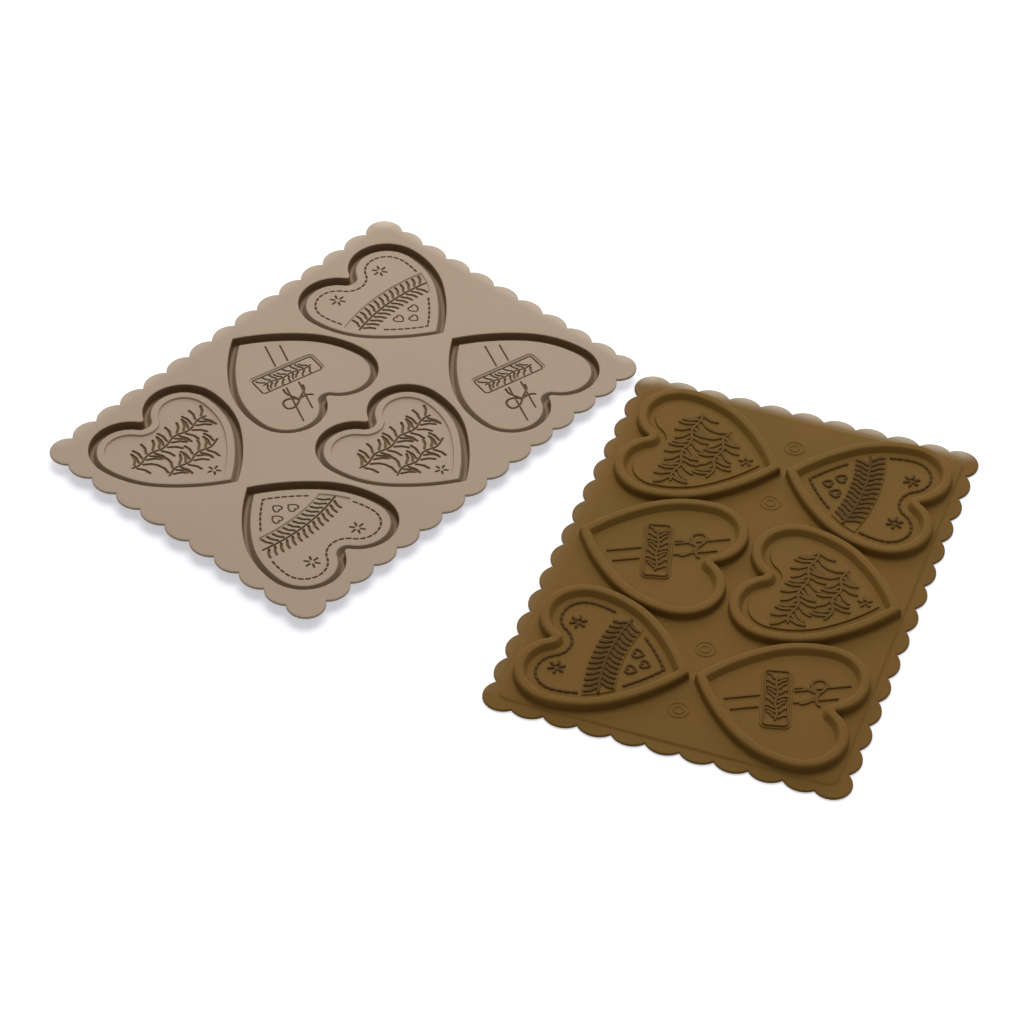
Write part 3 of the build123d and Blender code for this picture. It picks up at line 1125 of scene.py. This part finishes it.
# %% Node group: uneven pigment
SPECK_SCALE, SPECK_SHARE, CLOUD_DETAIL = 900.0, 0.10, 3.0
CLOUD_LOW, CLOUD_HIGH = 0.35, 0.7


def new_group(name, inputs, outputs):
    """Shader node group with named sockets, each a (name, type, value)."""
    group = bpy.data.node_groups.new(name, "ShaderNodeTree")
    for label, kind, value in inputs:
        socket = group.interface.new_socket(name=label, in_out="INPUT", socket_type=kind)
        if value is not None:
            socket.default_value = value
    for label, kind in outputs:
        group.interface.new_socket(name=label, in_out="OUTPUT", socket_type=kind)
    return group, group.nodes.new("NodeGroupInput"), group.nodes.new("NodeGroupOutput")


def build_pigment():
    """Base colour that drifts between two tones."""
    group, given, out = new_group(
        "uneven_pigment",
        [("Colour", "NodeSocketColor", (0.5, 0.5, 0.5, 1)),
         ("Drift Colour", "NodeSocketColor", (0.5, 0.45, 0.4, 1)),
         ("Scale", "NodeSocketFloat", 12.0),
         ("Amount", "NodeSocketFloat", 0.5)],
        [("Colour", "NodeSocketColor")])
    link = group.links.new
    place = group.nodes.new("ShaderNodeTexCoord")
    cloud = group.nodes.new("ShaderNodeTexNoise")
    cloud.inputs["Detail"].default_value = CLOUD_DETAIL
    speck = group.nodes.new("ShaderNodeTexNoise")
    speck.inputs["Scale"].default_value = SPECK_SCALE
    ramp = group.nodes.new("ShaderNodeMapRange")
    ramp.inputs["From Min"].default_value = CLOUD_LOW
    ramp.inputs["From Max"].default_value = CLOUD_HIGH
    strength = group.nodes.new("ShaderNodeMath")
    strength.operation = "MULTIPLY"
    mix = group.nodes.new("ShaderNodeMix")
    mix.data_type = "RGBA"
    fleck = group.nodes.new("ShaderNodeMix")
    fleck.data_type = "RGBA"
    fleck.blend_type = "MULTIPLY"
    fleck.inputs["Factor"].default_value = SPECK_SHARE
    link(place.outputs["Object"], cloud.inputs["Vector"])
    link(place.outputs["Object"], speck.inputs["Vector"])
    link(given.outputs["Scale"], cloud.inputs["Scale"])
    link(cloud.outputs["Fac"], ramp.inputs["Value"])
    link(ramp.outputs["Result"], strength.inputs[0])
    link(given.outputs["Amount"], strength.inputs[1])
    link(strength.outputs[0], mix.inputs["Factor"])
    link(given.outputs["Colour"], mix.inputs["A"])
    link(given.outputs["Drift Colour"], mix.inputs["B"])
    link(mix.outputs["Result"], fleck.inputs["A"])
    link(speck.outputs["Color"], fleck.inputs["B"])
    link(fleck.outputs["Result"], out.inputs["Colour"])
    return group


uneven_pigment = build_pigment()
print("group", uneven_pigment.name)

# %% [markdown]
# The surface has a very fine matt grain from the metal tool, and a thin soft
# sheet is never quite flat. Both are far too fine for the mesh, so they go into
# a height for a bump node. The group puts out that height and nothing else.

# %% Node group: fine grain and soft waves
def build_grain():
    """Height of the matt grain plus the faint waves of a thin soft sheet."""
    group, given, out = new_group(
        "fine_grain",
        [("Grain Scale", "NodeSocketFloat", 1800.0),
         ("Wave Scale", "NodeSocketFloat", 25.0),
         ("Wave Share", "NodeSocketFloat", 0.6)],
        [("Height", "NodeSocketFloat")])
    link = group.links.new
    place = group.nodes.new("ShaderNodeTexCoord")
    grain = group.nodes.new("ShaderNodeTexNoise")
    grain.inputs["Detail"].default_value = 2.0
    wave_noise = group.nodes.new("ShaderNodeTexNoise")
    wave_noise.inputs["Detail"].default_value = 1.0
    share = group.nodes.new("ShaderNodeMix")
    link(place.outputs["Object"], grain.inputs["Vector"])
    link(place.outputs["Object"], wave_noise.inputs["Vector"])
    link(given.outputs["Grain Scale"], grain.inputs["Scale"])
    link(given.outputs["Wave Scale"], wave_noise.inputs["Scale"])
    link(given.outputs["Wave Share"], share.inputs["Factor"])
    link(grain.outputs["Fac"], share.inputs["A"])
    link(wave_noise.outputs["Fac"], share.inputs["B"])
    link(share.outputs["Result"], out.inputs["Height"])
    return group


fine_grain = build_grain()
print("group", fine_grain.name)

# %% [markdown]
# Satin silicone has a broad soft highlight and scatters a little light. The base
# colour starts as the uneven pigment. The painted shade of grooves and strokes and
# the painted light on thin edges are mixed in after it, by the numbers in the mesh.
# What is the same all over is set on the shader itself.

# %% Silicone material
PIGMENT_SCALE, PIGMENT_AMOUNT = 14.0, 0.55
# Tone and share of the painted light on the thin edges.
EDGE_LIGHT_TONE, EDGE_LIGHT_SHARE = (0.72, 0.63, 0.5, 1), 0.62
BUMP_STRENGTH, BUMP_DISTANCE = 0.25, 0.0004
ROUGHNESS, SPECULAR = 0.55, 0.04
SCATTER, SCATTER_RADIUS = 0.05, (0.002, 0.0015, 0.001)


def mix_tone(nodes, tone):
    """Colour mix whose second colour is a fixed tone."""
    mix = nodes.new("ShaderNodeMix")
    mix.data_type = "RGBA"
    mix.inputs["B"].default_value = tone
    return mix


def mesh_number(nodes, name):
    """Reads a number that was stored in the mesh."""
    node = nodes.new("ShaderNodeAttribute")
    node.attribute_name = name
    return node


def silicone(name, colour, drift, deep):
    """Satin silicone with painted shade in grooves and strokes and painted light on thin edges."""
    material = bpy.data.materials.new(name)
    material.use_nodes = True
    nodes, link = material.node_tree.nodes, material.node_tree.links.new
    shader = nodes["Principled BSDF"]
    pigment = nodes.new("ShaderNodeGroup")
    pigment.node_tree = uneven_pigment
    pigment.inputs["Colour"].default_value = (*colour, 1)
    pigment.inputs["Drift Colour"].default_value = (*drift, 1)
    pigment.inputs["Scale"].default_value = PIGMENT_SCALE
    pigment.inputs["Amount"].default_value = PIGMENT_AMOUNT
    # The mesh's shade number mixes in the painted shade, the deep tone; edge_light mixes in the
    # painted light.
    groove = mesh_number(nodes, "shade")
    shade = mix_tone(nodes, (*deep, 1))
    thin = mesh_number(nodes, "edge_light")
    share = nodes.new("ShaderNodeMath")
    share.operation = "MULTIPLY"
    share.inputs[1].default_value = EDGE_LIGHT_SHARE
    edge_light_mix = mix_tone(nodes, EDGE_LIGHT_TONE)
    grain = nodes.new("ShaderNodeGroup")
    grain.node_tree = fine_grain
    bump = nodes.new("ShaderNodeBump")
    bump.inputs["Strength"].default_value = BUMP_STRENGTH
    bump.inputs["Distance"].default_value = BUMP_DISTANCE
    link(groove.outputs["Fac"], shade.inputs["Factor"])
    link(pigment.outputs["Colour"], shade.inputs["A"])
    link(shade.outputs["Result"], edge_light_mix.inputs["A"])
    link(thin.outputs["Fac"], share.inputs[0])
    link(share.outputs["Value"], edge_light_mix.inputs["Factor"])
    link(edge_light_mix.outputs["Result"], shader.inputs["Base Color"])
    link(grain.outputs["Height"], bump.inputs["Height"])
    link(bump.outputs["Normal"], shader.inputs["Normal"])
    shader.inputs["Roughness"].default_value = ROUGHNESS
    shader.inputs["Specular IOR Level"].default_value = SPECULAR
    shader.inputs["Subsurface Weight"].default_value = SCATTER
    shader.inputs["Subsurface Radius"].default_value = SCATTER_RADIUS
    return material


print("silicone roughness", ROUGHNESS, "bump", BUMP_STRENGTH)

# %% [markdown]
# One mat is a light greyish taupe and the other a dark golden brown. Each has
# three tones: the pigment, the tone it drifts to, and the dark tone of the painted
# shade in grooves and strokes. They are written as screen colours and turned into
# linear ones, which is what the shader works with.

# %% Colours of the two mats
TAUPE_TONES = ((174, 156, 135), (170, 148, 128), (112, 88, 60))
BROWN_TONES = ((120, 88, 40), (108, 85, 36), (72, 50, 24))


def linear(red, green, blue):
    """Linear colour from the 0 to 255 values of a screen colour."""
    values = [c / 255 for c in (red, green, blue)]
    return tuple(v / 12.92 if v <= 0.04045 else ((v + 0.055) / 1.055) ** 2.4 for v in values)


taupe = silicone("taupe_silicone", *(linear(*tone) for tone in TAUPE_TONES))
brown = silicone("brown_silicone", *(linear(*tone) for tone in BROWN_TONES))
taupe_mat.data.materials.append(taupe)
brown_mat.data.materials.append(brown)
print("materials", taupe.name, brown.name)

# %% [markdown]
# The table is plain white. Part of its white is its own glow for the camera, so
# the shadows stay soft while everything around them is as bright as the page. The
# glow grows away from the mats, where the lamps give less. It only reaches the
# camera, so it puts no light on the mats.

# %% Table
TABLE_HALF, TABLE_LEVEL = 3.0, -0.0001
TABLE_WHITE, TABLE_ROUGHNESS = (0.785, 0.785, 0.825, 1), 0.9
GLOW_TONE, GLOW_NEAR, GLOW_FAR = (0.94, 0.94, 1.0, 1), 0.5, 1.1
GLOW_START, GLOW_END = 0.45, 1.3


def white_table():
    """White table top that keeps soft shadows."""
    mesh = bpy.data.meshes.new("table")
    corners = [(sx * TABLE_HALF, sy * TABLE_HALF, TABLE_LEVEL) for sx, sy in QUADRANTS]
    mesh.from_pydata(corners, [], [(0, 1, 2, 3)])
    table = bpy.data.objects.new("table", mesh)
    bpy.context.scene.collection.objects.link(table)
    material = bpy.data.materials.new("table_white")
    material.use_nodes = True
    nodes, link = material.node_tree.nodes, material.node_tree.links.new
    shader = nodes["Principled BSDF"]
    shader.inputs["Base Color"].default_value = TABLE_WHITE
    shader.inputs["Roughness"].default_value = TABLE_ROUGHNESS
    shader.inputs["Specular IOR Level"].default_value = 0.0
    rays = nodes.new("ShaderNodeLightPath")
    glow = nodes.new("ShaderNodeEmission")
    glow.inputs["Color"].default_value = GLOW_TONE
    place = nodes.new("ShaderNodeTexCoord")
    away = nodes.new("ShaderNodeVectorMath")
    away.operation = "LENGTH"
    far = nodes.new("ShaderNodeMapRange")
    far.inputs["From Min"].default_value = GLOW_START
    far.inputs["From Max"].default_value = GLOW_END
    far.inputs["To Min"].default_value = GLOW_NEAR
    far.inputs["To Max"].default_value = GLOW_FAR
    link(place.outputs["Object"], away.inputs[0])
    link(away.outputs["Value"], far.inputs["Value"])
    link(far.outputs["Result"], glow.inputs["Strength"])
    add = nodes.new("ShaderNodeAddShader")
    mix = nodes.new("ShaderNodeMixShader")
    output = nodes["Material Output"]
    link(shader.outputs["BSDF"], add.inputs[0])
    link(glow.outputs["Emission"], add.inputs[1])
    link(rays.outputs["Is Camera Ray"], mix.inputs["Fac"])
    link(shader.outputs["BSDF"], mix.inputs[1])
    link(add.outputs["Shader"], mix.inputs[2])
    link(mix.outputs["Shader"], output.inputs["Surface"])
    mesh.materials.append(material)
    return table


table = white_table()
print("table", table.name, "at", TABLE_LEVEL, "m")

# %% [markdown]
# The world gives dim light from all sides, and the camera sees it as white. Rays
# that were mirrored or passed through see the same white, as they would in a
# real white room.

# %% World
AMBIENT = 0.24


def white_world(ambient):
    """Dim ambient light that shows as plain white to the camera."""
    world = bpy.data.worlds.new("studio")
    bpy.context.scene.world = world
    world.use_nodes = True
    nodes, link = world.node_tree.nodes, world.node_tree.links.new
    back = nodes["Background"]
    back.inputs["Color"].default_value = (1, 1, 1, 1)
    rays = nodes.new("ShaderNodeLightPath")
    seen = nodes.new("ShaderNodeMath")
    seen.operation = "MAXIMUM"
    clear = nodes.new("ShaderNodeMath")
    clear.operation = "MAXIMUM"
    strength = nodes.new("ShaderNodeMapRange")
    strength.inputs["To Min"].default_value = ambient
    strength.inputs["To Max"].default_value = 1.0
    link(rays.outputs["Is Camera Ray"], seen.inputs[0])
    link(rays.outputs["Is Glossy Ray"], seen.inputs[1])
    link(seen.outputs[0], clear.inputs[0])
    link(rays.outputs["Is Transmission Ray"], clear.inputs[1])
    link(clear.outputs[0], strength.inputs["Value"])
    link(strength.outputs["Result"], back.inputs["Strength"])


white_world(AMBIENT)
print("ambient light", AMBIENT)

# %% [markdown]
# The shadows of the photo fall towards the viewer and fade softly. So both lamps
# are large and stand behind the mats: one high up, for even light on the flat
# sheet, and one low like a window, for the shaded side of every ridge.

# %% Lamps
OVERHEAD_PLACE, OVERHEAD_SIZE = window_dir * 0.6 + Vector((0, 0, 1.6)), (1.4, 1.4)
WINDOW_PLACE, WINDOW_SIZE = window_dir * 1.4 + Vector((0, 0, 0.5)), (2.2, 0.9)
OVERHEAD_POWER, WINDOW_POWER = 19.0, 15.8


def softbox(name, place, size, power):
    """Large area lamp turned towards the middle of the table."""
    data = bpy.data.lights.new(name, "AREA")
    data.shape = "RECTANGLE"
    data.size, data.size_y = size
    data.energy = power
    lamp = bpy.data.objects.new(name, data)
    lamp.location = place
    lamp.rotation_euler = (-place).to_track_quat("-Z", "Y").to_euler()
    bpy.context.scene.collection.objects.link(lamp)
    return lamp


lamps = (
    softbox("overhead", OVERHEAD_PLACE, OVERHEAD_SIZE, OVERHEAD_POWER),
    softbox("window", WINDOW_PLACE, WINDOW_SIZE, WINDOW_POWER),
)
print("lamps", {lamp.name: round(lamp.data.energy, 1) for lamp in lamps}, "W")

# %% [markdown]
# The camera stands where the photographer's did. Its angle, distance and focal
# length come from the scalloped edges: both mats are equal rectangles on one
# plane, and only one camera makes both look as they do. It looks towards the
# window's side, since the light came from behind the mats.

# %% Camera
IMAGE_WIDTH, FOCAL_PX, SENSOR = 1024, 4020.9, 36.0
DISTANCE, TARGET = 1.8918, Vector((-0.02694, 0.0202, 0))
RISE, ROLL = math.radians(43.07), math.radians(1.85)


def photo_camera():
    """Camera at the photograph's angle."""
    ahead = window_dir * math.cos(RISE) - Vector((0, 0, math.sin(RISE)))
    data = bpy.data.cameras.new("camera")
    data.sensor_width = SENSOR
    data.lens = FOCAL_PX / IMAGE_WIDTH * data.sensor_width
    camera = bpy.data.objects.new("camera", data)
    camera.location = TARGET - ahead * DISTANCE
    look = ahead.to_track_quat("-Z", "Y").to_matrix().to_4x4()
    camera.matrix_world = Matrix.Translation(camera.location) @ look @ Matrix.Rotation(ROLL, 4, "Z")
    bpy.context.scene.collection.objects.link(camera)
    bpy.context.scene.camera = camera
    return camera


camera = photo_camera()
bpy.context.scene.view_settings.view_transform = "Standard"
print("lens", round(camera.data.lens, 1))

# %% [markdown]
# Last, the scene is brought up to date. Its box must lie inside the CAD box,
# so that the dressed part fits wherever the plain one does.

# %% Finish
bpy.context.view_layer.update()
